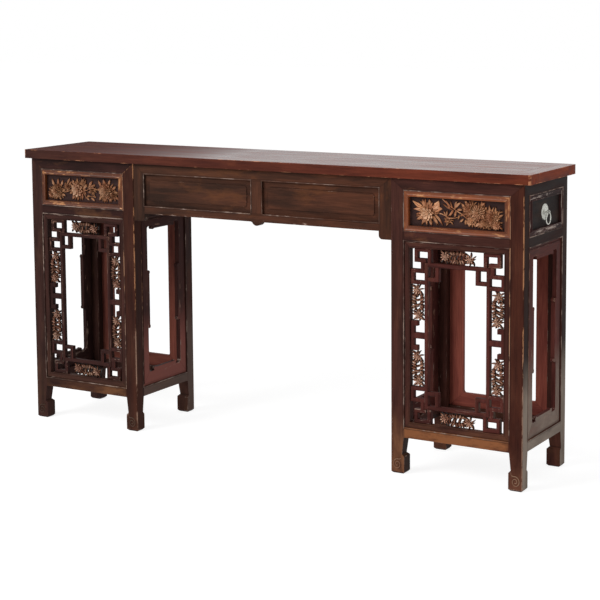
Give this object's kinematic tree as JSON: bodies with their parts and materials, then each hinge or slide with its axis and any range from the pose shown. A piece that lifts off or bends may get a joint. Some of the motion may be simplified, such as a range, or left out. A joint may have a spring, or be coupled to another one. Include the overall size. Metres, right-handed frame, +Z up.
{
  "type": "chinese altar table",
  "caption": "Long framed top on open fretwork pedestals joined by panelled aprons, with a drawer sliding from each end.",
  "frame": {"origin": "on the floor below the middle of the top", "axes": "+X along the length to the viewer's right, +Y to the back, +Z up; the carved front faces -Y"},
  "size_m": [2.09, 0.402, 1.05],
  "materials": {
    "lacquered_wood": "dark red-brown lacquer, satin, worn along the edges",
    "top_wood": "dark red-brown lacquer, polished",
    "lattice_wood": "dark red lacquer, satin",
    "moulding_wood": "thin worn gilt over wood, satin",
    "carved_wood": "carved and rubbed gilt wood, satin",
    "plain_wood": "bare planed wood, matt",
    "white_metal": "pale copper-nickel alloy, rubbed bright"
  },
  "bodies": {
    "frame": {"apron_bottom_rail": "lacquered_wood", "apron_end_stiles": "lacquered_wood", "apron_muntin": "lacquered_wood", "apron_panels": "lacquered_wood", "apron_top_rail": "lacquered_wood", "back_apron_frame": "lacquered_wood", "back_apron_panels": "lacquered_wood", "left_back_cusped_frame": "lattice_wood", "left_back_inner_leg": "lacquered_wood", "left_back_outer_leg": "lacquered_wood", "left_back_rails": "lacquered_wood", "left_closing_panels": "lacquered_wood", "left_drawer_runners": "plain_wood", "left_end_rails": "lacquered_wood", "left_front_inner_leg": "lacquered_wood", "left_front_moulding": "moulding_wood", "left_front_outer_leg": "lacquered_wood", "left_front_panel": "carved_wood", "left_front_rails": "lacquered_wood", "left_inner_cusped_frame": "lattice_wood", "left_lattice_florets": "carved_wood", "left_lattice_frame": "lattice_wood", "left_lattice_fret": "lattice_wood", "left_outer_cusped_frame": "lattice_wood", "right_back_cusped_frame": "lattice_wood", "right_back_inner_leg": "lacquered_wood", "right_back_outer_leg": "lacquered_wood", "right_back_rails": "lacquered_wood", "right_closing_panels": "lacquered_wood", "right_drawer_runners": "plain_wood", "right_end_rails": "lacquered_wood", "right_front_inner_leg": "lacquered_wood", "right_front_moulding": "moulding_wood", "right_front_outer_leg": "lacquered_wood", "right_front_panel": "carved_wood", "right_front_rails": "lacquered_wood", "right_inner_cusped_frame": "lattice_wood", "right_lattice_florets": "carved_wood", "right_lattice_frame": "lattice_wood", "right_lattice_fret": "lattice_wood", "right_outer_cusped_frame": "lattice_wood", "top_back_stile": "top_wood", "top_battens": "plain_wood", "top_boards": "top_wood", "top_end_rails": "top_wood", "top_front_stile": "top_wood"},
    "right_drawer": {"right_drawer_bottom": "plain_wood", "right_drawer_box": "plain_wood", "right_drawer_front": "lacquered_wood", "right_drawer_moulding": "moulding_wood", "right_pull_eye": "white_metal", "right_pull_plate": "white_metal"},
    "right_ring": {"right_pull_ring": "white_metal"},
    "left_drawer": {"left_drawer_bottom": "plain_wood", "left_drawer_box": "plain_wood", "left_drawer_front": "lacquered_wood", "left_drawer_moulding": "moulding_wood", "left_pull_eye": "white_metal", "left_pull_plate": "white_metal"},
    "left_ring": {"left_pull_ring": "white_metal"}
  },
  "joints": [
    {"name": "right_drawer_slide", "type": "slide", "parent": "frame", "child": "right_drawer", "axis": [1, 0, 0], "range_m": [0, 0.3]},
    {"name": "right_ring_swing", "type": "hinge", "parent": "right_drawer", "child": "right_ring", "pos_m": [1.0265, 0, 0.9061], "axis": [0, -1, 0], "range_deg": [-10, 160]},
    {"name": "left_drawer_slide", "type": "slide", "parent": "frame", "child": "left_drawer", "axis": [-1, 0, 0], "range_m": [0, 0.3]},
    {"name": "left_ring_swing", "type": "hinge", "parent": "left_drawer", "child": "left_ring", "pos_m": [-1.0265, 0, 0.9061], "axis": [0, 1, 0], "range_deg": [-10, 160]}
  ]
}
